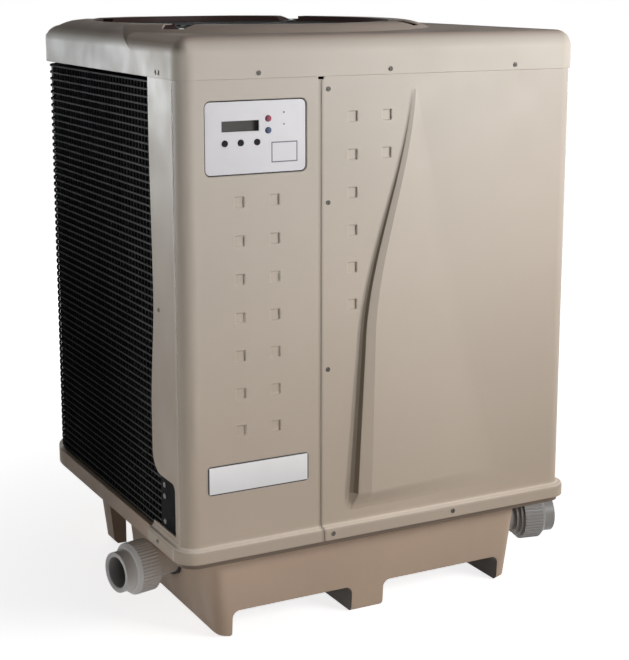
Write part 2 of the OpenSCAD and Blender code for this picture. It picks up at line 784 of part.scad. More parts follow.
module top_cover() color("#c4baad") {
    x = hw + cover_out;
    y0 = front_y - cover_out;
    y1 = rear_y + cover_out;
    rf = cover_edge_r;
    rr = rear_r + cover_out;
    mid_y = (y0 + y1) / 2;
    corner_d = norm([x - rr - abs(fan_axis.x), y1 - rr - fan_axis.y]) + rr;
    far = min(fan_axis.y - y0, x - fan_axis.x, corner_d) - clear;
    difference() {
        union() {
            edge_run([-x + rf, y0, 0], 90, 2 * (x - rf)) cover_edge();
            edge_run([x - rr, y1, 0], -90, 2 * (x - rr)) cover_edge();
            for (s = [0, 1]) mirror([s, 0, 0]) {
                edge_run([-x, y1 - rr, 0], 0, y1 - rr - y0 - rf) cover_edge();
                edge_corner([-x + rf, y0 + rf, 0], 180, rf) cover_edge();
                edge_corner([-x + rr, y1 - rr, 0], 90, rr) cover_edge();
            }
            translate([0, 0, cover_top_z - cover_t]) linear_extrude(cover_t) difference() {
                union() {
                    translate([-x + rf, y0 + rf]) square([2 * (x - rf), y1 - rr - y0 - rf]);
                    rear_round(x - rf, y1 - rf, rr - rf);
                }
                translate(fan_axis) circle(throat_r);
            }
            intersection() {
                translate(fan_axis) rotate_extrude() collar_section(far);
                translate([0, 0, cover_z]) linear_extrude(collar_z) {
                    translate([-x - clear, y0 - over]) square([2 * (x + clear), y1 - rr - y0 + over]);
                    rear_round(x + clear, y1 + clear, rr + clear);
                }
                translate([0, 2 * hw, 0]) rotate([90, 0, 0]) linear_extrude(4 * hw) cover_dome(x);
                translate([-2 * hw, mid_y, 0]) rotate([90, 0, 90])
                    linear_extrude(4 * hw) cover_dome((y1 - y0) / 2);
            }
            translate([fan_axis.x, fan_axis.y, throat_z]) rotate_extrude() translate([throat_r, 0]) {
                square([throat_t, collar_z - throat_z]);
                square([collar_flat - 2, throat_t]);
            }
        }
        cover_screw_places() screw_hole(cover_screw_len);
        translate([0, 0, ear_z]) ear_places() screw_hole(collar_rise, 3);
        ear_notches();
        translate([0, 0, throat_z - over]) ear_places() cylinder(r = 3 + fit, h = throat_t + 2 * over);
    }
}

// Fan guard: wire rings on spokes inside the throat, with four ears screwed down in notches of the collar
guard_rim_r = 4;
guard_r = throat_r - 10;
ear_t = 3;
ear_w = 26;
ear_z = collar_z - 13;
guard_z = ear_z - 2;
module ear_notches() {
    h = collar_z - ear_z + over;
    ear_places() translate([throat_r - ear_r - over, 0, ear_z]) rotate([90, 0, 90])
        linear_extrude(collar_flat + 34) polygon([[-15, 0], [15, 0], [32, h], [-32, h]]);
}
module fan_guard() color("#232323") difference() {
    union() {
        translate([fan_axis.x, fan_axis.y, guard_z]) {
            rotate_extrude() translate([guard_r, 0]) circle(guard_rim_r, $fn = 24);
            for (k = [1 : guard_rings]) rotate_extrude()
                translate([40 + (guard_r - 40) * k / (guard_rings + 1), 0]) circle(guard_wire_r, $fn = 24);
            for (a = [0 : 45 : 315]) rotate([0, 0, a]) rotate([0, 90, 0])
                translate([0, 0, 30]) cylinder(r = 3, h = guard_r - 30, $fn = 24);
            translate([0, 0, -2]) cylinder(r = 45, h = 4);
        }
        translate([0, 0, ear_z]) ear_places() {
            cylinder(r = ear_w / 2, h = ear_t);
            translate([guard_r - ear_r, -ear_w / 2, 0]) cube([ear_r - guard_r, ear_w, ear_t]);
        }
    }
    translate([0, 0, ear_z - over]) ear_places() cylinder(r = 3 + fit, h = ear_t + 2 * over);
}
module fan_screws() color("#4a4a4a") {
    translate([0, 0, ear_z + ear_t]) ear_places() screw(collar_rise, 3, 6.5);
    translate([0, 0, throat_z - arm_t]) ear_places() mirror([0, 0, 1]) screw(arm_t + throat_t, 3, 6.5);
}

// Motor under the fan on four arms that hang from the throat's flange
arm_w = 22;
arm_t = 5;
band_t = 3;
band_h = 60;
motor_top_z = throat_z - 6;
module motor_bracket() color("#3a3a3a") difference() {
    translate([fan_axis.x, fan_axis.y, 0]) {
        translate([0, 0, throat_z - band_h]) tube(motor_r + clear + band_t, band_t, band_h);
        for (a = ear_angles) rotate([0, 0, a]) {
            translate([motor_r + band_t / 2 + clear, -arm_w / 2, throat_z - arm_t])
                cube([ear_r - motor_r, arm_w, arm_t]);
        }
    }
    translate([0, 0, throat_z - arm_t - over]) ear_places() cylinder(r = 3 + fit, h = arm_t + 2 * over);
}

motor_boss_h = 5;
module at_fan(z) translate([fan_axis.x, fan_axis.y, z]) children();
module fan_motor() color("#4d5257") at_fan(motor_top_z - motor_h) difference() {
    union() {
        translate([0, 0, 12]) cylinder(r = motor_r, h = motor_h - 20);
        cylinder(r1 = motor_r - 14, r2 = motor_r - 1, h = 12);
        translate([0, 0, motor_h - 8]) cylinder(r1 = motor_r - 1, r2 = motor_r - 12, h = 8);
        cylinder(r = 20, h = motor_h + motor_boss_h);
    }
    translate([0, 0, motor_h - 70]) cylinder(r = fan_shaft_r + 0.05, h = 80);
}
blade_z = cover_z + 26;
hub_h = 40;
bushing_r = 20;
module fan_shaft() color("#b9bcc0") at_fan(motor_top_z - 69.5)
    cylinder(r = fan_shaft_r, h = blade_z + hub_h / 2 + 6 - motor_top_z + 69.5);
module fan_bushing() color("#9a9ea3") at_fan(blade_z - hub_h / 2 - 4) difference() {
    cylinder(r = bushing_r, h = hub_h + 6);
    translate([0, 0, -over]) cylinder(r = fan_shaft_r + 0.05, h = hub_h + 8);
}

// Blade: a cambered sheet cut to a round-ended outline
camber_r = 800;
tip_r = throat_r - tip_gap;
petal_r = (tip_r - fan_hub_r) / 2 + 4;
module blade() intersection() {
    rotate([blade_pitch, 0, 0]) translate([0, 0, camber_r]) rotate([0, 90, 0])
        tube(camber_r + blade_t, blade_t, tip_r + 10, $fn = 288);
    translate([0, 0, -80]) linear_extrude(160) intersection() {
        translate([fan_hub_r + petal_r - 8, 0]) circle(petal_r);
        circle(tip_r);
    }
}
module fan_blades() color("#2e3033") at_fan(blade_z) difference() {
    union() {
        translate([0, 0, -hub_h / 2]) cylinder(r = fan_hub_r, h = hub_h);
        for (k = [0 : blade_count - 1]) rotate([0, 0, 360 * k / blade_count + 20]) blade();
    }
    translate([0, 0, -hub_h]) cylinder(r = bushing_r + fit, h = 2 * hub_h);
}

// Wrap-round coil, its end plates and its guard
module evaporator_fins() color("#1d1e1f") translate([0, 0, pan_z]) linear_extrude(coil_top_z - pan_z)
    u_band(coil_inset, coil_t, fy(coil_y));

bend_pitch = 52;
bend_count = 15;
bend_z0 = base_h + 40;
module return_bend(x, z) translate([x, fy(plate_web_y), z]) rotate([90, 90, 0]) rotate([90, 0, 0])
    rotate_extrude(angle = 180) translate([12.7, 0]) circle(4.8);
module evaporator_bends() color("#b5794a") for (s = [-1, 1], k = [0 : bend_count - 1], c = [0, 1])
    return_bend(s * (hw - coil_inset - coil_t * (c + 0.5) / 2), bend_z0 + bend_pitch * k + 14 * c);

module end_plate_outline() {
    translate([-hw + panel_t, fy(plate_web_y)]) square([plate_t, plate_flange_y - plate_web_y]);
    translate([-hw + panel_t, fy(plate_web_y)]) square([plate_in - panel_t + plate_t, plate_t]);
    translate([-hw + plate_in, fy(plate_web_y)]) square([plate_t, plate_flange_y - plate_web_y]);
}
module coil_end_plates() color("#242526") difference() {
    translate([0, 0, base_h]) linear_extrude(coil_top_z - base_h) {
        end_plate_outline();
        mirror([1, 0]) end_plate_outline();
    }
    flank_screw_places() screw_hole(flank_screw_len + over);
    plate_bolt_places() screw_hole(6);
}
module coil_plate_bolts() color("#c9c9c4") plate_bolt_places() screw(5, screw_r, 5);

bar_z0 = base_h + 7;
bar_count = floor((coil_top_z - bar_z0 - bar_t) / bar_pitch) + 1;
module coil_guard_bars() color("#303234") for (k = [0 : bar_count - 1])
    translate([0, 0, bar_z0 + bar_pitch * k]) linear_extrude(bar_t) u_band(guard_inset, bar_t, fy(bar_y));

stay_corner = 12;
stay_far_y = rear_y - rear_r;
module stay(x, y) translate([x, y, base_h]) cylinder(r = stay_r, h = coil_top_z - base_h, $fn = 16);
module coil_guard_stays() color("#2a2c2e") {
    y0 = fy(bar_y + 8);
    ny = floor((stay_far_y - y0) / stay_pitch);
    nx = floor((hw - rear_r) / stay_pitch);
    for (s = [-1, 1], k = [0 : ny]) stay(s * (hw - stay_inset), y0 + stay_pitch * k);
    for (k = [-nx : nx]) stay(stay_pitch * k, rear_y - stay_inset);
    for (s = [-1, 1], k = [1 : stay_corner]) {
        a = 90 * k / (stay_corner + 0.5);
        r = rear_r - stay_inset;
        stay(s * (hw - rear_r + r * cos(a)), stay_far_y + r * sin(a));
    }
}

// Compressor on four rubber feet
module at_compressor(z) translate([comp_at.x, comp_at.y, z]) children();
module comp_foot_places() for (sx = [-1, 1], sy = [-1, 1])
    translate([sx * comp_foot, sy * comp_foot, 0]) children();
function dome_r(r, rise) = (r * r + rise * rise) / (2 * rise);
module domed_can(r, h, rise) {
    big = dome_r(r, rise);
    cylinder(r = r, h = h - rise);
    intersection() {
        translate([0, 0, h - big]) sphere(big, $fn = 96);
        translate([0, 0, h - rise - over]) cylinder(r = r, h = rise + 2 * over);
    }
}
comp_stub = 30;
module compressor_shell() color("#2b2c2e") difference() {
    union() {
        at_compressor(comp_base_z + comp_foot_t) domed_can(comp_r, comp_h, comp_dome);
        at_compressor(comp_base_z) linear_extrude(comp_foot_t)
            rounded_square(2 * comp_foot + 44, 2 * comp_foot + 44, 20);
        at_compressor(comp_top_z - 10) cylinder(r = discharge_r + 2, h = comp_stub + 10);
        at_compressor(suction_z) rotate([0, 90, 0]) cylinder(r = suction_r + 2, h = comp_r + comp_stub);
    }
    at_compressor(comp_base_z - over) comp_foot_places() cylinder(r = 5 + fit, h = comp_foot_t + 2 * over);
}
module compressor_grommets() color("#161616") at_compressor(pan_z) comp_foot_places()
    tube(16, 10.8, grommet_h);
module compressor_bolts() color("#b7b7b2") at_compressor(pan_z) comp_foot_places() {
    cylinder(r = 5, h = grommet_h + comp_foot_t);
    translate([0, 0, grommet_h + comp_foot_t]) cylinder(r = 9, h = 6, $fn = 6);
}
module compressor_terminal_cover() color("#17181a") difference() {
    at_compressor(comp_base_z + 250) translate([-32, -comp_r - 30, 0]) cube([64, 50, 80]);
    at_compressor(0) cylinder(r = comp_r + clear, h = 2 * comp_top_z);
}

// Refrigerant lines
discharge_z = max(comp_top_z + comp_stub, hx_top_z) + 60;
module discharge_line() color("#b87348") pipe_run([
    [comp_at.x, comp_at.y, comp_top_z + comp_stub],
    [comp_at.x, comp_at.y, discharge_z],
    [hx_x, comp_at.y, discharge_z],
    [hx_x, hx_y, discharge_z],
    [hx_x, hx_y, hx_top_z + 20]
], discharge_r, 25);

suction_x = hw - plate_in - plate_t - 42;
suction_y = fy(80);
module suction_line() color("#b87348") pipe_run([
    [hw - plate_in - plate_t, suction_y, suction_z],
    [suction_x, suction_y, suction_z],
    [suction_x, comp_at.y, suction_z],
    [comp_at.x + comp_r + comp_stub, comp_at.y, suction_z]
], suction_r, 25);

liquid_y = hx_y - hx_r - 50;
drier_x = hx_x - 65;
drier_len = 120;
drier_r = 28;
valve_x = drier_x - drier_len - 45;
valve_z = hx_out_z + 85;
valve_h = 50;
module liquid_line() color("#b87348") {
    pipe_run([
        [hx_x, hx_y - hx_r - 12, hx_out_z],
        [hx_x, liquid_y, hx_out_z],
        [drier_x, liquid_y, hx_out_z]
    ], liquid_r, 20);
    pipe_run([
        [drier_x - drier_len, liquid_y, hx_out_z],
        [valve_x, liquid_y, hx_out_z],
        [valve_x, liquid_y, valve_z]
    ], liquid_r, 20);
}
module filter_drier() color("#3f6b4a") translate([drier_x, liquid_y, hx_out_z]) rotate([0, -90, 0]) {
    cylinder(r1 = 8, r2 = drier_r, h = 18);
    translate([0, 0, 18]) cylinder(r = drier_r, h = drier_len - 36);
    translate([0, 0, drier_len - 18]) cylinder(r1 = drier_r, r2 = 8, h = 18);
}
module expansion_valve() color("#b69a4c") translate([valve_x, liquid_y, valve_z]) {
    cylinder(r = 9, h = valve_h);
    translate([0, 0, 14]) cylinder(r = 14, h = 18, $fn = 6);
    translate([0, 0, 23]) rotate([0, 90, 0]) cylinder(r = 7, h = 30);
    translate([30, 0, 23]) rotate([0, 90, 0]) cylinder(r = 20, h = 8);
}
module valve_line() color("#b87348") pipe_run([
    [valve_x, liquid_y, valve_z + valve_h],
    [valve_x, liquid_y, valve_z + valve_h + 50],
    [-hw + plate_in + plate_t, liquid_y, valve_z + valve_h + 50]
], liquid_r, 20);
module pressure_switch(at) translate(at) {
    cylinder(r = 4, h = 12);
    translate([0, 0, 12]) cylinder(r = 12, h = 30);
    translate([0, 0, 42]) cylinder(r = 8, h = 8);
}
module high_pressure_switch() color("#a23a33") pressure_switch([
    (comp_at.x + hx_x) / 2, comp_at.y, discharge_z + discharge_r + clear / 2
]);
module low_pressure_switch() color("#2f5f9a") pressure_switch([
    suction_x, (suction_y + comp_at.y) / 2, suction_z + suction_r + clear / 2
]);

// Heat exchanger: an upright shell with two water ports and two refrigerant stubs
module at_exchanger(z) translate([hx_x, hx_y, z]) children();
module hx_port(turn, z) at_exchanger(z) rotate([0, 0, turn]) rotate([0, 90, 0])
    cylinder(r = pipe_r + 6, h = hx_r + hx_port_reach);
module hx_port_bore(turn, z) at_exchanger(z) rotate([0, 0, turn]) rotate([0, 90, 0]) {
    translate([0, 0, hx_r + hx_port_reach - 28]) cylinder(r = pipe_r + fit, h = 28 + over);
    cylinder(r = pipe_in_r, h = hx_r + hx_port_reach);
}
module heat_exchanger() color("#d8d5cd") difference() {
    union() {
        at_exchanger(hx_z) domed_can(hx_r, hx_h, hx_dome);
        hx_port(180, hx_low_z);
        hx_port(0, hx_high_z);
        at_exchanger(hx_top_z - 10) cylinder(r = 10, h = 30);
        at_exchanger(hx_out_z) rotate([90, 0, 0]) cylinder(r = 10, h = hx_r + 12);
    }
    hx_port_bore(180, hx_low_z);
    hx_port_bore(0, hx_high_z);
}
module heat_exchanger_stand() color("#55585b") at_exchanger(pan_z) tube(hx_r - 8, 6, hx_z - pan_z);
clamp_z = [hx_z + 160, hx_z + 340];
module heat_exchanger_clamps() color("#a9acae") for (z = clamp_z) at_exchanger(z) {
    tube(hx_r + 2 + clear, 2, 18);
    translate([0, hx_r + 1.5 + clear, 4]) cube([26, 10, 10]);
}

// Water pipes from the unions through the plinth's flanks, with a ball elbow below the drain pan
function left_route(e) = [
    union_at(0, 0),
    [-riser_x, water_y[0], hx_low_z],
    [hx_x - hx_r - hx_port_reach + 25 + e, water_y[0], hx_low_z]
];
function right_route(e) = [
    union_at(1, 0),
    [riser_x, water_y[1], hx_high_z],
    [riser_x, hx_y, hx_high_z],
    [hx_x + hx_r + hx_port_reach - 25 - e, hx_y, hx_high_z]
];
module water_lead(s, r, e) {
    translate(union_at(s, 0)) {
        sphere(r * 1.5);
        rotate([0, 0, union_turn[s]]) rotate([0, 90, 0]) cylinder(r = r, h = bore_d + pipe_out + e);
    }
}
module water_pipe(s, outer, inner) difference() {
    union() {
        pipe_run(outer, pipe_r, pipe_bend);
        water_lead(s, pipe_r, 0);
    }
    pipe_run(inner, pipe_in_r, pipe_bend);
    water_lead(s, pipe_in_r, over);
}
module left_water_pipe() color("#c3c1bc") water_pipe(0, left_route(0), left_route(over));
module right_water_pipe() color("#c3c1bc") water_pipe(1, right_route(0), right_route(over));

// Unions: body on the pipe, seal, tail with the pipe socket and a nut that turns over them
tail_z = union_len - tail_len;
thread_len = 32;
body_z = tail_z - seal_t - thread_len - 8;
pipe_out = body_z + 24;
grommet_len = 28;
union_turn = [180 + union_splay, -union_splay];
function union_at(s, d) = [(2 * s - 1) * riser_x, water_y[s], water_z]
    + d * [cos(union_turn[s]), sin(union_turn[s]), 0];
module at_union(s) translate(union_at(s, bore_d)) rotate([0, 0, union_turn[s]]) rotate([0, 90, 0]) children();
module each_union() for (s = [0, 1]) at_union(s) children();
module pipe_grommets() color("#141414") each_union() difference() {
    translate([0, 0, -grommet_len]) cylinder(r = grommet_bore_r - fit, h = grommet_len + over);
    translate([0, 0, -grommet_len - over]) cylinder(r = pipe_r + fit, h = grommet_len + 3 * over);
}
module union_bodies() color("#b9b7b2") each_union() difference() {
    translate([0, 0, body_z]) {
        cylinder(r = union_r - 2, h = tail_z - seal_t - body_z);
        translate([0, 0, 8]) cylinder(r = thread_r, h = thread_len);
    }
    cylinder(r = pipe_r + fit, h = pipe_out + fit);
    cylinder(r = pipe_in_r, h = union_len);
}
module union_seals() color("#101010") each_union() translate([0, 0, tail_z - seal_t]) tube(36, 5, seal_t);
module union_tails() color("#c3c1bc") each_union() difference() {
    translate([0, 0, tail_z]) {
        cylinder(r = union_r, h = tail_len);
        cylinder(r = tail_flange_r, h = tail_flange_t);
    }
    translate([0, 0, union_len - mouth - socket_depth]) cylinder(r = socket_r, h = tail_len);
    translate([0, 0, union_len - mouth]) cylinder(r1 = socket_r, r2 = socket_r + mouth, h = mouth + fit);
    translate([0, 0, tail_z - over]) cylinder(r = pipe_in_r, h = tail_len);
}

// Nut: a ribbed skirt over the thread and a plain shoulder that bears on the tail's flange
shoulder = 7;
rib_r = 1.6;
module union_nut() color("#b4b2ad") {
    seat = tail_z + tail_flange_t + clear;
    skirt = thread_len + tail_flange_t - 4;
    translate([0, 0, seat - skirt]) difference() {
        union() {
            linear_extrude(skirt + nut_lip - shoulder) {
                circle(nut_r);
                for (k = [0 : nut_ribs - 1]) rotate([0, 0, 360 * k / nut_ribs])
                    translate([nut_r, 0]) circle(rib_r, $fn = 24);
            }
            translate([0, 0, skirt + nut_lip - shoulder]) cylinder(r1 = nut_r, r2 = nut_r - 5, h = shoulder);
        }
        translate([0, 0, -over]) cylinder(r = thread_r + clear, h = skirt + over);
        cylinder(r = union_r + clear, h = skirt + nut_lip + over);
    }
}
module left_union_nut() at_union(0) union_nut();
module right_union_nut() at_union(1) union_nut();

// Control box behind the display, with what it holds on its back wall
module control_box() color("#9fa3a6") translate([box_x, box_y, box_z]) difference() {
    cube([box_w, box_d, box_h]);
    translate([box_t, -over, box_t]) cube([box_w - 2 * box_t, box_d - box_t + over, box_h - 2 * box_t]);
}
module on_box_back(x, z) translate([box_x + x, box_back_y - box_t, box_z + z])
    rotate([90, 0, 0]) children();
module control_board() color("#2f6b3c") {
    on_box_back(95, 370) translate([-80, -85, 12]) cube([160, 170, board_t]);
    for (x = [25, 165], z = [295, 445]) on_box_back(x, z) cylinder(r = 3, h = 12);
    for (x = [45, 75, 105]) on_box_back(x, 340) translate([-11, -14, 12 + board_t]) cube([22, 28, 16]);
}
module contactor() color("#26272a") on_box_back(45, 215) {
    translate([-30, -38, 0]) cube([60, 76, 42]);
    translate([-22, -26, 42]) cube([44, 52, 16]);
}
capacitor_r = 26;
capacitor_h = 110;
module run_capacitor() color("#b8bcc0")
    translate([box_x + 115, box_back_y - box_t - capacitor_r - clear, box_z + box_t]) {
        cylinder(r = capacitor_r, h = capacitor_h);
        for (x = [-9, 9]) translate([x, 0, capacitor_h]) cylinder(r = 3, h = 12);
    }
module transformer() color("#6d5a3c") on_box_back(145, 215) {
    translate([-28, -30, 0]) cube([56, 60, 34]);
    translate([-18, -22, 34]) cube([36, 44, 14]);
}
module terminal_block() color("#1c1c1e") on_box_back(48, 90) {
    translate([-36, -15, 0]) cube([72, 30, 14]);
    for (k = [-2 : 2]) translate([14 * k - 5, -9, 14]) cube([10, 18, 9]);
}

// Display: plate, seal, window, lamps and push buttons in the control corner's recess
module in_display(x, z) on_front(fx(x), fz(z), display_floor_y) children();
module display_plate() color("#dcdad8") difference() {
    in_display(overlay_x, overlay_z) linear_extrude(overlay_t)
        rounded_square(overlay_w, overlay_h, overlay_r);
    in_display(lcd_x, lcd_z) translate([-lcd_w / 2 - fit, -lcd_h / 2 - fit, -over])
        cube([lcd_w + 2 * fit, lcd_h + 2 * fit, overlay_t + 2 * over]);
    for (x = button_x) in_display(x, button_z) translate([0, 0, -over]) button_bore();
    for (z = mode_z) in_display(mode_x, z) translate([0, 0, -over]) button_bore();
    for (z = led_z) in_display(led_x, z) translate([0, 0, -over])
        cylinder(r = led_r + fit, h = overlay_t + 2 * over);
}
module display_gasket() color("#151515") in_display(overlay_x, overlay_z)
    linear_extrude(overlay_t - 0.7) difference() {
        rounded_square(overlay_w + 2 * gasket_w, overlay_h + 2 * gasket_w, overlay_r + gasket_w);
        rounded_square(overlay_w + 2 * fit, overlay_h + 2 * fit, overlay_r + fit);
    }
module display_window() color("#5c5d58") in_display(lcd_x, lcd_z)
    translate([-lcd_w / 2, -lcd_h / 2, display_floor_y - board_y])
        cube([lcd_w, lcd_h, board_y - display_floor_y - lcd_sink]);
module indicator_lamps() color("#8f8c88") for (z = led_z) in_display(led_x, z)
    cylinder(r = led_r, h = overlay_t + 0.5);
module display_board() color("#2f6b3c") {
    translate([fx(overlay_x) - 90, board_y, fz(overlay_z) - 50]) cube([180, board_t, 110]);
    for (x = button_x) on_front(fx(x), fz(button_z), board_y) cylinder(r = 2, h = 1.5);
    for (z = mode_z) on_front(fx(mode_x), fz(z), board_y) cylinder(r = 2, h = 1.5);
    for (sx = [-1, 1], sz = [-1, 1]) on_front(fx(overlay_x) + 82 * sx, fz(overlay_z) + 5 + 48 * sz, board_y)
        cylinder(r = 3, h = board_y - pad_back_y);
}
module push_button(x, z) on_front(fx(x), fz(z), pad_back_y + button_tail) {
    reach = pad_t + overlay_t + button_tail + 1.5;
    cylinder(r = button_d / 2, h = reach - 0.6);
    translate([0, 0, reach - 0.6]) cylinder(r1 = button_d / 2, r2 = button_d / 2 - 0.6, h = 0.6);
    translate([0, 0, button_tail - button_flange_t - clear])
        cylinder(r = button_d / 2 + 2, h = button_flange_t);
}
module menu_buttons_left() color("#1a1a1a") push_button(button_x[0], button_z);
module menu_buttons_centre() color("#1a1a1a") push_button(button_x[1], button_z);
module menu_buttons_right() color("#1a1a1a") push_button(button_x[2], button_z);
module heat_button() color("#a8485f") push_button(mode_x, mode_z[0]);
module cool_button() color("#4d5e92") push_button(mode_x, mode_z[1]);

module name_plate() color("#dfdddb") on_front(fx(badge_x), fz(badge_z)) linear_extrude(badge_t)
    rounded_square(badge_w, badge_h, 6);

module panel_screws() color("#77716a") {
    access_screw_places() screw(access_screw_len);
    flange_screw_places() screw(flange_screw_len);
    cover_screw_places() screw(cover_screw_len);
    flank_screw_places() screw(flank_screw_len);
}

module condensate_drain() color("#d3d0c8") translate([drain_at.x, drain_at.y, 0]) difference() {
    union() {
        translate([0, 0, pan_z]) cylinder(r = 18, h = 3);
        translate([0, 0, base_h - rim_h - 40]) cylinder(r = drain_r, h = pan_z - base_h + rim_h + 40);
        for (k = [0 : 2]) translate([0, 0, base_h - rim_h - 38 + 9 * k])
            cylinder(r1 = drain_r, r2 = drain_r + 1.6, h = 7);
    }
    cylinder(r = drain_r - 3, h = base_h);
}

module conduit_bushing() color("#2a2a2b") translate([conduit_at.x, conduit_at.y, 0]) difference() {
    union() {
        translate([0, 0, bay_h - 8]) cylinder(r = conduit_r, h = pan_z - bay_h + 8);
        translate([0, 0, pan_z]) cylinder(r = 17, h = 8, $fn = 6);
    }
    cylinder(r = conduit_r - 2.5, h = base_h);
}

base_pan();
control_corner_panel();
access_panel();
top_cover();
fan_guard();
fan_screws();
motor_bracket();
fan_motor();
fan_shaft();
fan_bushing();
fan_blades();
evaporator_fins();
evaporator_bends();
coil_end_plates();
coil_plate_bolts();
coil_guard_bars();
coil_guard_stays();
compressor_shell();
compressor_grommets();
compressor_bolts();
compressor_terminal_cover();
discharge_line();
suction_line();
liquid_line();
valve_line();
filter_drier();
expansion_valve();
high_pressure_switch();
low_pressure_switch();
heat_exchanger();
heat_exchanger_stand();
heat_exchanger_clamps();
left_water_pipe();
right_water_pipe();
pipe_grommets();
union_bodies();
union_seals();
union_tails();
left_union_nut();
right_union_nut();
control_box();
control_board();
contactor();
run_capacitor();
transformer();
terminal_block();
display_plate();
display_gasket();
display_window();
display_board();
indicator_lamps();
menu_buttons_left();
menu_buttons_centre();
menu_buttons_right();
heat_button();
cool_button();
name_plate();
panel_screws();
condensate_drain();
conduit_bushing();
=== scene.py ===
"""Looks of a free-standing pool and spa heat pump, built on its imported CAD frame.

Metres, Z up, front towards -Y.
"""
import math

import bpy
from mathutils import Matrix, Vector


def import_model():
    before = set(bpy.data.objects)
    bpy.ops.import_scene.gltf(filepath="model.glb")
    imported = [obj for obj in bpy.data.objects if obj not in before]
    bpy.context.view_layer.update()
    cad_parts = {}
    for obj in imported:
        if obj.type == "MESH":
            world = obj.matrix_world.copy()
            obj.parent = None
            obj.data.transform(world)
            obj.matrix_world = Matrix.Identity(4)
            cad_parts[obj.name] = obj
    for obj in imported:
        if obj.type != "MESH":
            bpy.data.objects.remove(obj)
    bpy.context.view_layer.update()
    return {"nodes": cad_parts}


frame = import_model()
nodes = frame["nodes"]
scene = bpy.context.scene

# Places on the CAD that the finishes follow
LEFT, FRONT, FOOT = -0.420, -0.411, 0.215  # of the cabinet
CORNER_R = 0.02  # at least this far from the left side, the front is flat
SEAM_X = -0.143  # gap between the two front panels
BEAD_Y = FRONT + 0.030  # beads on the sides, next to the front corners
SIDE_X = -LEFT - 0.0016  # the sides lie beyond this, left and right
FLANGE_TOP = FOOT + 0.06  # just above the panels' foot flange
RIM_Z = 0.177  # the base's rim, under that flange
DIMPLE_FROM, DIMPLE_TO = FRONT + 0.0002, FRONT + 0.0029  # the dimples' walls
FLAT_Y = FRONT + 0.00005  # the flat front, within rounding
RELIEF_Y = FRONT - 0.0003  # the relief stands out beyond this
FAN_X, FAN_Y, THROAT_R, COLLAR_TOP = -0.075, 0.069, 0.305, 1.156
# Inside this radius, the fan's throat gets painted shade
THROAT_SHADE_R = THROAT_R + 0.0012
# The collar's notches: from and to which radius, and half their width
NOTCH_FROM, NOTCH_TO, NOTCH_HALF = THROAT_R + 0.035, THROAT_R + 0.071, 0.0455
UNIONS = (  # start of each union and the direction it runs in, in degrees from +X
    ((-0.255, FRONT + 0.270, 0.105), 192.0),
    ((0.255, FRONT + 0.162, 0.105), -12.0),
)
SOCKET_R, SOCKET_FLOOR = 0.0311, 0.178  # of the unions' open ends
SOCKET_DARK, SOCKET_MOUTH = 0.180, 0.222  # along a union, the socket's shade eases between these

# Most of a noise's values lie between these
NOISE_LOW, NOISE_HIGH = 0.3, 0.7
# What all solid finishes have in common
PATCH_SCALE = 4.3
ROUGH_SPREAD = 0.08
GRAIN_DEPTH = 0.0004
EDGE_SAMPLES = 6
# A face looks up, down or to a side if its normal has at least this much of that direction
STEEP = 0.7
MM_PER_M = 1000.0


def lin(r, g, b):
    """Linear colour of an sRGB colour in 0 to 255"""
    def f(v):
        v /= 255.0
        return v / 12.92 if v <= 0.04045 else ((v + 0.055) / 1.055) ** 2.4
    return (f(r), f(g), f(b))


def shade(c, k):
    return tuple(v * k for v in c)


PANEL = lin(200, 190, 176)
BASE = lin(197, 173, 152)
# Colour of painted highlights on upward-facing edges of the panels
PAINTED_HIGHLIGHT = lin(255, 250, 240)
WHITE = (1.0, 1.0, 1.0)


# Material building blocks: every finish is made of noise and simple shapes in object coordinates
class Graph:
    """Short forms for building a node tree"""

    def __init__(self, tree):
        self.tree = tree

    def node(self, kind, **settings):
        n = self.tree.nodes.new(kind)
        for key, value in settings.items():
            setattr(n, key, value)
        return n

    def link(self, a, b):
        self.tree.links.new(a, b)

    def put(self, value, socket):
        """Links an output to the socket, or sets a constant on it"""
        if hasattr(value, "is_output"):
            self.link(value, socket)
        else:
            socket.default_value = (*value, 1.0) if socket.type == "RGBA" else value

    def math(self, kind, a, b=0.0):
        n = self.node("ShaderNodeMath", operation=kind)
        self.put(a, n.inputs[0])
        self.put(b, n.inputs[1])
        return n.outputs[0]

    def minus(self, a, b):
        return self.math("SUBTRACT", a, b)

    def below(self, a, b):
        return self.math("LESS_THAN", a, b)

    def above(self, a, b):
        return self.math("GREATER_THAN", a, b)

    def abs(self, a):
        return self.math("ABSOLUTE", a)

    def length(self, a, b):
        squares = self.math("ADD", self.math("MULTIPLY", a, a), self.math("MULTIPLY", b, b))
        return self.math("SQRT", squares)

    def every(self, first, *masks):
        """Product of several masks"""
        for m in masks:
            first = self.math("MULTIPLY", first, m)
        return first

    def span(self, value, low, high, out_low, out_high):
        """The value, carried over from one range to another and kept within it"""
        n = self.node("ShaderNodeMapRange")
        for key, v in zip(("Value", "From Min", "From Max", "To Min", "To Max"),
                          (value, low, high, out_low, out_high)):
            self.put(v, n.inputs[key])
        return n.outputs["Result"]

    def split(self, vector):
        n = self.node("ShaderNodeSeparateXYZ")
        self.link(vector, n.inputs[0])
        return n.outputs["X"], n.outputs["Y"], n.outputs["Z"]


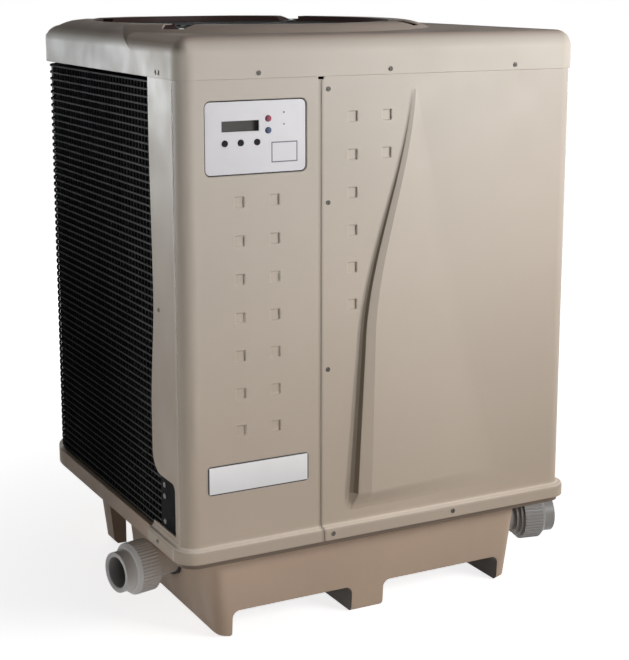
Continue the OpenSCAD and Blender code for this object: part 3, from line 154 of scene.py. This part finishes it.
class Finish(Graph):
    """A material with one principled shader"""

    def __init__(self, name):
        self.mat = bpy.data.materials.new(name)
        self.mat.use_nodes = True
        super().__init__(self.mat.node_tree)
        self.tree.nodes.clear()
        out = self.node("ShaderNodeOutputMaterial")
        self.bsdf = self.node("ShaderNodeBsdfPrincipled")
        self.link(self.bsdf.outputs["BSDF"], out.inputs["Surface"])
        self.place = self.node("ShaderNodeTexCoord").outputs["Object"]

    def axes(self):
        return self.split(self.place)

    def facing(self, kind="True Normal"):
        """Components of the surface's normal"""
        return self.split(self.node("ShaderNodeNewGeometry").outputs[kind])

    def turned(self, **settings):
        """Object coordinates with a scale or a rotation"""
        n = self.node("ShaderNodeMapping")
        for key, value in settings.items():
            n.inputs[key].default_value = value
        self.link(self.place, n.inputs["Vector"])
        return n.outputs["Vector"]

    def noise(self, scale, detail=3.0, rough=0.55, stretch=None):
        n = self.node("ShaderNodeTexNoise")
        n.inputs["Scale"].default_value = scale
        n.inputs["Detail"].default_value = detail
        n.inputs["Roughness"].default_value = rough
        self.link(self.turned(Scale=stretch) if stretch else self.place, n.inputs["Vector"])
        return n.outputs["Fac"]

    def vary(self, noise, low, high):
        return self.span(noise, NOISE_LOW, NOISE_HIGH, low, high)

    def mix(self, fac, a, b, blend="MIX"):
        n = self.node("ShaderNodeMix", data_type="RGBA", blend_type=blend)
        self.put(fac, n.inputs["Factor"])
        for v, socket in zip((a, b), [s for s in n.inputs if s.type == "RGBA"]):
            self.put(v, socket)
        return [s for s in n.outputs if s.type == "RGBA"][0]

    def cloud(self, noise, a, b):
        """Two colours, mixed by a noise"""
        return self.mix(self.vary(noise, 0.0, 1.0), a, b)

    def bump(self, height, strength, distance, under=None):
        n = self.node("ShaderNodeBump")
        n.inputs["Strength"].default_value = strength
        n.inputs["Distance"].default_value = distance
        self.put(height, n.inputs["Height"])
        if under is not None:
            self.link(under, n.inputs["Normal"])
        return n.outputs["Normal"]

    def soft_edges(self, radius):
        n = self.node("ShaderNodeBevel", samples=EDGE_SAMPLES)
        n.inputs["Radius"].default_value = radius
        return n.outputs["Normal"]

    def set(self, colour=None, rough=None, metal=None, normal=None, coat=None, spec=None):
        for value, key in ((colour, "Base Color"), (rough, "Roughness"), (metal, "Metallic"),
                           (normal, "Normal"), (coat, "Coat Weight"),
                           (spec, "Specular IOR Level")):
            if value is not None:
                self.put(value, self.bsdf.inputs[key])

    def lay(self, mask, colour, blend):
        plain = self.bsdf.inputs["Base Color"].links[0].from_socket
        self.set(self.mix(mask, plain, colour, blend))

    def paint(self, mask, colour):
        """Lays a colour over the finish where the mask is 1"""
        self.lay(mask, colour, "MIX")

    def tint(self, mask, colour):
        """Multiplies the finish by a colour where the mask is 1"""
        self.lay(mask, colour, "MULTIPLY")


def surface(name, colour, rough, metal=0.0, mottle=0.06, mottle_scale=6.0, grain=0.15,
            grain_scale=900.0, edge=None, coat=None, spec=None):
    """A solid finish: broad mottling of colour, a varied roughness and a fine grain"""
    f = Finish(name)
    broad = f.noise(mottle_scale, 4.0, 0.6)
    patch = f.noise(mottle_scale * PATCH_SCALE, 3.0, 0.5)
    under = f.soft_edges(edge) if edge else None
    f.set(f.cloud(broad, shade(colour, 1 - mottle), shade(colour, 1 + mottle)),
          f.vary(patch, rough - ROUGH_SPREAD, rough + ROUGH_SPREAD), metal,
          f.bump(f.noise(grain_scale, 2.0, 0.5), grain, GRAIN_DEPTH, under), coat, spec)
    return f


# Painted highlights, painted shade and other tone and gloss changes on single finishes
def paint_bead_highlight(f):
    """Painted highlight: a paler line along the beads at the front corners, stronger higher up and
    towards the left
    """
    x, y, z = f.axes()
    side = f.above(f.abs(x), SIDE_X)
    near = f.span(f.abs(f.minus(y, BEAD_Y)), 0.0022, 0.0048, 1.0, 0.0)
    higher = f.span(z, 0.5, 1.05, 0.35, 1.0)
    left = f.span(x, -0.1, 0.1, 1.0, 0.2)
    f.paint(f.every(side, near, higher, left), lin(255, 252, 246))


def paint_lip_highlights(f):
    """Painted highlight: paler upper edges of the foot flange, where they face up"""
    _, _, up = f.facing()
    _, _, z = f.axes()
    f.paint(f.every(f.below(z, FLANGE_TOP), f.span(up, 0.5, 0.8, 0.0, 1.0)), PAINTED_HIGHLIGHT)


def paint_front_light_and_shade(f):
    """Painted shade and painted highlights on the dimples, the relief, the right edge and the seam
    """
    across, _, up = f.facing()
    x, y, z = f.axes()

    # Painted shade on the dimples' top walls, painted highlights on their right and bottom walls
    sunk = f.every(f.above(y, DIMPLE_FROM), f.below(y, DIMPLE_TO), f.above(x, LEFT + CORNER_R))
    f.tint(f.every(sunk, f.below(up, -STEEP)), (0.6, 0.6, 0.6))
    f.paint(f.every(sunk, f.below(across, -STEEP)), lin(246, 238, 228))
    f.paint(f.every(sunk, f.above(up, STEEP)), PAINTED_HIGHLIGHT)

    # Painted shade on the relief's wall, its foot and the band by its crest, and a slight painted
    # shade on the fade
    field = f.every(f.below(y, FLAT_Y), f.above(x, SEAM_X), f.above(z, FLANGE_TOP))
    relief = f.every(field, f.below(y, RELIEF_Y))
    wall = f.span(across, -0.85, -0.45, 1.0, 0.0)
    f.tint(f.every(relief, wall), (0.44, 0.41, 0.36))
    foot = f.span(up, -0.09, -0.03, 1.0, 0.0)
    f.tint(f.every(relief, foot), (0.86, 0.77, 0.70))
    crest = f.every(f.below(across, -0.012), f.above(across, -0.15))
    f.tint(f.every(relief, crest, f.span(z, 0.35, 0.85, 0.1, 1.0)), (0.72, 0.71, 0.70))
    fade = f.every(f.above(across, 0.02), f.span(y, FRONT - 0.0025, FRONT, 0.0, 1.0))
    f.tint(f.every(field, fade), (0.965, 0.965, 0.965))

    # Painted shade along the right edge of the front and in the seam
    right = f.span(x, 0.15, 0.42, 0.0, 1.0)
    f.tint(f.every(right, f.span(y, FRONT, FRONT + 0.08, 1.0, 0.0)), (0.93, 0.915, 0.905))
    seam = f.span(f.abs(f.minus(x, SEAM_X)), 0.002, 0.0065, 1.0, 0.0)
    f.tint(f.every(seam, f.below(y, FRONT + 0.002)), (0.74, 0.73, 0.71))


def tone_by_height(f):
    """Warmer, slightly darker tone near the ground and a cooler one at the top"""
    _, _, z = f.axes()
    height = f.span(z, 0.25, 1.05, 0.0, 1.0)
    f.tint(1.0, f.mix(height, (0.985, 0.915, 0.865), (0.955, 0.965, 1.0)))


def paint_throat_shade(f):
    """Painted shade inside the fan's throat and in the notches of its collar"""
    x, y, z = f.axes()
    dx, dy = f.minus(x, FAN_X), f.minus(y, FAN_Y)
    r = f.length(dx, dy)
    aside = f.abs(f.minus(f.abs(dx), f.abs(dy)))
    brim = f.span(r, NOTCH_FROM, NOTCH_TO, COLLAR_TOP - 0.0015, COLLAR_TOP - 0.009)
    notch = f.every(f.below(r, NOTCH_TO), f.below(aside, NOTCH_HALF), f.below(z, brim))
    f.paint(f.math("MAXIMUM", f.below(r, THROAT_SHADE_R), notch), (0.030, 0.012, 0.009))


def polish_sides(f):
    """A little more gloss on upright faces than on the top"""
    _, _, up = f.facing()
    f.set(spec=f.span(f.abs(up), 0.1, 0.6, 0.22, 0.02))


def paint_top_shade(f):
    """Painted shade: a browner top and a darker left shoulder"""
    across, _, up = f.facing("Normal")
    f.tint(f.span(up, 0.6, 0.95, 0.0, 1.0), (0.97, 0.88, 0.86))
    shoulder = f.every(f.span(across, -0.75, -0.3, 1.0, 0.0), f.span(up, 0.06, 0.45, 0.0, 1.0))
    f.tint(shoulder, (0.46, 0.42, 0.40))


def paint_base_shade(f):
    """Painted shade: dark inner faces of the feet, and a painted shadow line under the panels'
    flange
    """
    across, _, _ = f.facing()
    x, y, z = f.axes()
    inner = f.every(f.below(across, -0.6), f.above(x, -0.22), 0.9)
    f.paint(inner, (0.010, 0.007, 0.005))
    front = f.span(y, -0.36, -0.40, 0.0, 0.85)
    f.paint(f.every(front, f.above(z, RIM_Z)), shade(BASE, 0.25))


def paint_pipe_shade(f):
    """Painted shade: darker grey for the connection on the right, and dark sockets, darkest deep
    inside
    """
    axes = f.axes()
    f.paint(f.above(axes[0], 0.0), lin(150, 147, 144))
    for start, turn in UNIONS:
        c, s = math.cos(math.radians(turn)), math.sin(math.radians(turn))
        px, py, pz = (f.minus(a, b) for a, b in zip(axes, start))
        along = f.math("ADD", f.math("MULTIPLY", px, c), f.math("MULTIPLY", py, s))
        aside = f.minus(f.math("MULTIPLY", py, c), f.math("MULTIPLY", px, s))
        inside = f.every(f.below(f.length(aside, pz), SOCKET_R), f.above(along, SOCKET_FLOOR))
        depth = f.span(along, SOCKET_DARK, SOCKET_MOUTH, 1.0, 0.35)
        f.paint(f.every(inside, depth), (0.012, 0.011, 0.010))


def paint_screw_highlight(f):
    """Painted highlight: a pale left half on a dark screw head"""
    across, _, _ = f.facing()
    f.paint(f.span(across, -0.35, 0.1, 1.0, 0.0), (0.40, 0.38, 0.35))


def paint_key_shade(f, node):
    """Painted shade: darker rim and left half of a round key"""
    corners = [Vector(c) for c in node.bound_box]
    centre = sum(corners, Vector()) / len(corners)
    radius = (max(c.x for c in corners) - min(c.x for c in corners)) / 2
    x, _, z = f.axes()
    dx, dz = f.minus(x, centre.x), f.minus(z, centre.z)
    rim = f.span(f.length(dx, dz), 0.5 * radius, 0.95 * radius, 0.0, 0.85)
    left = f.span(dx, -0.7 * radius, 0.25 * radius, 0.92, 0.0)
    f.paint(f.math("MAXIMUM", rim, left), (0.004, 0.004, 0.004))


# Finishes with a pattern of their own
def fin_finish():
    """Black coated fin edges: fine upright stripes"""
    f = Finish("coated_fins")
    stripe = f.noise(1.0, 2.0, 0.5, (420.0, 420.0, 6.0))
    dark, pale = (0.0004, 0.0004, 0.0004), (0.0014, 0.0015, 0.0014)
    f.set(f.mix(f.span(stripe, 0.35, 0.65, 0.0, 1.0), dark, pale),
          f.vary(f.noise(40.0), 0.75, 0.95), 0.0, f.bump(stripe, 0.6, 0.001), spec=0.01)
    return f


def board_finish():
    """Solder mask with pale tracks and pads"""
    f = Finish("circuit_board")
    tracks = f.node("ShaderNodeTexBrick")
    tracks.inputs["Scale"].default_value = 60.0
    tracks.inputs["Mortar Size"].default_value = 0.06
    f.link(f.turned(Rotation=(math.radians(90), 0, 0)), tracks.inputs["Vector"])
    track = tracks.outputs["Fac"]
    f.set(f.mix(track, (0.012, 0.075, 0.026), (0.05, 0.16, 0.06)),
          f.vary(f.noise(200.0), 0.3, 0.5), 0.0, f.bump(track, 0.3, 0.0004), coat=0.3)
    return f


def frame_line(f, x, z, centre, size, width):
    """1 on the outline of an upright rectangle, else 0"""
    dx = f.minus(f.abs(f.minus(x, centre[0])), size[0] / 2)
    dz = f.minus(f.abs(f.minus(z, centre[1])), size[1] / 2)
    return f.below(f.abs(f.math("MAXIMUM", dx, dz)), width / 2)


def at(x, z):
    """Place on the front, given in millimetres from the cabinet's lower left corner"""
    return (LEFT + x / MM_PER_M, FOOT + z / MM_PER_M)


def overlay_finish():
    """Pale film with one empty outlined box"""
    f = Finish("display_film")
    x, _, z = f.axes()
    film = f.cloud(f.noise(9.0), lin(212, 210, 213), lin(219, 217, 220))
    box = frame_line(f, x, z, at(204, 721.5), (0.050, 0.035), 0.0021)
    f.set(f.mix(box, film, lin(92, 90, 96)), f.vary(f.noise(60.0), 0.3, 0.42), 0.0,
          f.bump(f.noise(1500.0), 0.1, 0.0002))
    return f


def window_finish():
    """Grey display behind a clear window, with painted shade darkening it to the right, and with a
    dark strip at that end
    """
    f = Finish("display_window")
    x, _, _ = f.axes()
    left, strip_from, strip_to, right = (at(mm, 0)[0] for mm in (80, 140, 147, 155))
    glass = f.mix(f.span(x, left, right, 0.0, 1.0), lin(90, 89, 86), lin(78, 77, 75))
    strip = f.span(x, strip_from, strip_to, 0.0, 1.0)
    f.set(f.mix(strip, glass, lin(7, 7, 7)), f.vary(f.noise(90.0), 0.1, 0.2), 0.0, spec=0.12)
    return f


def plate_finish():
    """Silvered film with a dark border line"""
    f = Finish("name_plate_film")
    x, _, z = f.axes()
    line = frame_line(f, x, z, at(147.5, 126.5), (0.2030, 0.0530), 0.0022)
    film = f.cloud(f.noise(7.0), lin(246, 244, 243), lin(252, 250, 249))
    lower = f.span(z, at(0, 100)[1], at(0, 150)[1], 0.25, 0.0)
    film = f.mix(lower, film, lin(150, 152, 158))
    f.set(f.mix(line, film, lin(46, 46, 48)), f.vary(f.noise(50.0), 0.28, 0.42), 0.12,
          f.bump(f.noise(1200.0), 0.08, 0.0002))
    return f


panel = surface("panel_plastic", PANEL, 0.5, mottle=0.025, mottle_scale=3.0, grain=0.22,
                grain_scale=650.0, edge=0.0035, spec=0.2)
paint_bead_highlight(panel)
paint_lip_highlights(panel)
paint_front_light_and_shade(panel)
tone_by_height(panel)
cover = surface("cover_plastic", shade(PANEL, 1.02), 0.55, mottle=0.025, mottle_scale=3.0,
                grain=0.22, grain_scale=650.0, edge=0.002)
paint_throat_shade(cover)
polish_sides(cover)
tone_by_height(cover)
paint_top_shade(cover)
base = surface("base_plastic", BASE, 0.55, mottle=0.05, mottle_scale=5.0, grain=0.3,
               grain_scale=420.0, edge=0.003, spec=0.25)
paint_base_shade(base)
black_metal = surface("black_powder_coat", (0.005, 0.005, 0.006), 0.55, mottle=0.2, grain=0.3,
                      grain_scale=1400.0, spec=0.12)
end_plate = surface("end_plate_coating", (0.0016, 0.0022, 0.0020), 0.6, mottle=0.2, grain=0.3,
                    grain_scale=1400.0, spec=0.03)
# The bars and the stays are one black coated wire: the bars' paler grey is a painted highlight of
# light from above, the stays' darker grey painted shade
lit_guard_wire = surface("guard_coating", (0.165, 0.166, 0.163), 0.8, mottle=0.2, mottle_scale=14.0,
                     grain=0.2, spec=0.0)
shaded_stay_wire = surface("stay_coating", (0.070, 0.073, 0.070), 0.8, mottle=0.2, mottle_scale=14.0,
                    grain=0.2, spec=0.0)
fan_wire = surface("fan_guard_coating", (0.010, 0.009, 0.009), 0.5, mottle=0.25,
                   mottle_scale=14.0, grain=0.2, spec=0.1)
black_plastic = surface("black_plastic", (0.02, 0.02, 0.022), 0.45, mottle=0.15)
grey_pvc = surface("grey_pipe_plastic", lin(240, 237, 234), 0.38, mottle=0.04,
                   mottle_scale=18.0, grain=0.12, grain_scale=500.0, edge=0.001)
paint_pipe_shade(grey_pvc)
white_pvc = surface("white_pipe_plastic", lin(222, 220, 214), 0.38, mottle=0.03,
                    mottle_scale=12.0)
rubber = surface("rubber", (0.012, 0.012, 0.012), 0.7, mottle=0.2, mottle_scale=30.0, grain=0.35)
seal = surface("dark_seal", lin(24, 20, 16), 0.65, mottle=0.12, mottle_scale=30.0, grain=0.3,
               spec=0.2)
steel = surface("zinc_plate", (0.52, 0.52, 0.50), 0.34, metal=1.0, mottle=0.12,
                mottle_scale=60.0, grain=0.2)
screw = surface("dull_zinc", (0.035, 0.031, 0.027), 0.5, metal=0.2, mottle=0.2,
                mottle_scale=90.0, grain=0.2, spec=0.2)
paint_screw_highlight(screw)
copper = surface("drawn_copper", (0.60, 0.27, 0.14), 0.32, metal=1.0, mottle=0.18,
                 mottle_scale=22.0, grain=0.1)
brass = surface("machined_brass", (0.56, 0.41, 0.14), 0.3, metal=1.0, mottle=0.1,
                mottle_scale=40.0, grain=0.1)
green = surface("green_enamel", (0.04, 0.13, 0.06), 0.3, mottle=0.08, mottle_scale=20.0, coat=0.3)
red = surface("red_enamel", (0.32, 0.035, 0.028), 0.35, mottle=0.08, mottle_scale=20.0)
blue = surface("blue_enamel", (0.03, 0.10, 0.30), 0.35, mottle=0.08, mottle_scale=20.0)
motor_paint = surface("motor_enamel", (0.075, 0.085, 0.095), 0.4, mottle=0.12, mottle_scale=16.0)
sheet = surface("galvanised_sheet", (0.42, 0.43, 0.44), 0.36, metal=0.85, mottle=0.22,
                mottle_scale=26.0, grain=0.1)
vessel = surface("vessel_plastic", lin(218, 214, 204), 0.33, mottle=0.04, mottle_scale=8.0)
varnish = surface("varnished_winding", (0.15, 0.10, 0.045), 0.35, mottle=0.25,
                  mottle_scale=120.0, coat=0.4)
lamp = surface("lamp_lens", lin(105, 102, 98), 0.15, mottle=0.05, mottle_scale=80.0, coat=0.6)
key_black = surface("black_key", (0.007, 0.007, 0.007), 0.5, mottle=0.2, mottle_scale=120.0,
                    grain=0.2, spec=0.12)
key_red = surface("red_key", lin(160, 62, 86), 0.45, mottle=0.1, mottle_scale=120.0, grain=0.2,
                  spec=0.25)
paint_key_shade(key_red, nodes["heat_button"])
key_blue = surface("blue_key", lin(74, 90, 126), 0.45, mottle=0.1, mottle_scale=120.0, grain=0.2,
                   spec=0.25)
paint_key_shade(key_blue, nodes["cool_button"])

finishes = {
    panel: ["control_corner_panel", "access_panel"],
    cover: ["top_cover"],
    base: ["base_pan"],
    lit_guard_wire: ["coil_guard_bars"],
    shaded_stay_wire: ["coil_guard_stays"],
    fan_wire: ["fan_guard"],
    black_metal: ["motor_bracket", "compressor_shell"],
    end_plate: ["coil_end_plates"],
    fin_finish(): ["evaporator_fins"],
    black_plastic: ["fan_blades", "compressor_terminal_cover", "contactor", "terminal_block",
                    "conduit_bushing"],
    grey_pvc: ["union_bodies", "union_tails", "left_union_nut", "right_union_nut",
               "left_water_pipe", "right_water_pipe"],
    white_pvc: ["condensate_drain"],
    rubber: ["compressor_grommets", "pipe_grommets", "union_seals"],
    seal: ["display_gasket"],
    steel: ["fan_shaft", "fan_bushing", "compressor_bolts", "heat_exchanger_clamps",
            "run_capacitor", "fan_screws"],
    screw: ["panel_screws", "coil_plate_bolts"],
    copper: ["evaporator_bends", "discharge_line", "suction_line", "liquid_line", "valve_line"],
    brass: ["expansion_valve"],
    green: ["filter_drier"],
    red: ["high_pressure_switch"],
    blue: ["low_pressure_switch"],
    motor_paint: ["fan_motor", "heat_exchanger_stand"],
    sheet: ["control_box"],
    vessel: ["heat_exchanger"],
    varnish: ["transformer"],
    board_finish(): ["control_board", "display_board"],
    overlay_finish(): ["display_plate"],
    window_finish(): ["display_window"],
    lamp: ["indicator_lamps"],
    plate_finish(): ["name_plate"],
    key_black: ["menu_buttons_left", "menu_buttons_centre", "menu_buttons_right"],
    key_red: ["heat_button"],
    key_blue: ["cool_button"],
}
for finish, names in finishes.items():
    for name in names:
        mesh = nodes[name].data
        mesh.materials.clear()
        mesh.materials.append(finish.mat)


# Floor, light and camera
FLOOR_HALF = 30.0
FLOOR_NEAR, FLOOR_FAR = 0.8, 1.0  # how bright the floor shows, near the object and further out
NEAR_R, FAR_R = 0.5, 1.4
STUDIO = 0.34  # level of the studio's light, and what is left of it on the left and overhead
STUDIO_LEFT, STUDIO_OVERHEAD = STUDIO * 0.22, STUDIO * 0.09
LIGHTS = (
    {"name": "key", "place": (1.5, -2.2, 1.3), "target": (0.25, -0.4, 1.15),
     "size": (1.2, 0.8), "power": 15.0, "spread": 85.0},
    {"name": "flank", "place": (-1.5, 1.9, 1.05), "target": (-0.42, -0.15, 1.1),
     "size": (0.6, 0.6), "power": 0.74, "colour": (0.88, 0.95, 1.0), "spread": 24.0},
    {"name": "corner", "place": (-2.2, -1.35, 0.7), "target": (-0.42, -0.36, 0.7),
     "size": (0.2, 1.4), "power": 0.42, "spread": 16.0},
    {"name": "back", "place": (0.9, 3.6, 0.95), "target": (0.0, 0.2, 0.75),
     "size": (2.4, 0.9), "power": 24.0},
)
CAMERA_PLACE = (-1.4259, -2.8269, 1.245)
CAMERA_TILT, CAMERA_TURN = 11.262, 27.722  # degrees down from level, and to the right
LENS, SENSOR, SHIFT_Y = 82.55, 36.0, -0.08
CLIP = (0.05, 100.0)


def seen_directly(g):
    """1 on rays that show the background: from the camera, in reflections and through glass"""
    path = g.node("ShaderNodeLightPath").outputs
    shown = g.math("MAXIMUM", path["Is Camera Ray"], path["Is Glossy Ray"])
    return g.math("MAXIMUM", shown, path["Is Transmission Ray"])


def floor():
    """White floor that keeps the shadow near the object and runs into the white background"""
    s = FLOOR_HALF
    mesh = bpy.data.meshes.new("floor")
    mesh.from_pydata([(-s, -s, 0), (s, -s, 0), (s, s, 0), (-s, s, 0)], [], [(0, 1, 2, 3)])
    obj = bpy.data.objects.new("floor", mesh)
    scene.collection.objects.link(obj)
    f = surface("floor", (0.80, 0.80, 0.80), 0.85, mottle=0.01, mottle_scale=0.6, grain=0.05,
                grain_scale=60.0, spec=0.0)
    x, y, _ = f.axes()
    level = f.span(f.length(x, y), NEAR_R, FAR_R, FLOOR_NEAR, FLOOR_FAR)
    f.put(WHITE, f.bsdf.inputs["Emission Color"])
    f.put(f.every(level, seen_directly(f)), f.bsdf.inputs["Emission Strength"])
    mesh.materials.append(f.mat)


def area_light(name, place, target, size, power, colour=WHITE, spread=180.0):
    data = bpy.data.lights.new(name, "AREA")
    data.shape = "RECTANGLE"
    data.size, data.size_y = size
    data.energy = power
    data.color = colour
    data.spread = math.radians(spread)
    obj = bpy.data.objects.new(name, data)
    obj.location = place
    aim = Vector(target) - Vector(place)
    obj.rotation_euler = aim.to_track_quat("-Z", "Y").to_euler()
    scene.collection.objects.link(obj)


def world():
    """Pale studio, dimmer overhead and to the left, before a white background"""
    scene.world = bpy.data.worlds.new("studio")
    scene.world.use_nodes = True
    g = Graph(scene.world.node_tree)
    x, _, z = g.split(g.node("ShaderNodeTexCoord").outputs["Generated"])
    around = g.span(x, -0.8, 0.4, STUDIO_LEFT, STUDIO)
    studio = g.span(z, 0.05, 0.55, around, STUDIO_OVERHEAD)
    back = g.tree.nodes["Background"]
    g.put(WHITE, back.inputs["Color"])
    g.put(g.span(seen_directly(g), 0.0, 1.0, studio, 1.0), back.inputs["Strength"])


floor()
world()
for light in LIGHTS:
    area_light(**light)

camera = bpy.data.objects.new("camera", bpy.data.cameras.new("camera"))
camera.data.lens = LENS
camera.data.sensor_width = SENSOR
camera.data.shift_y = SHIFT_Y
camera.data.clip_start, camera.data.clip_end = CLIP
camera.location = CAMERA_PLACE
camera.rotation_euler = (math.radians(90 - CAMERA_TILT), 0.0, math.radians(-CAMERA_TURN))
scene.collection.objects.link(camera)
scene.camera = camera
scene.view_settings.view_transform = "Standard"
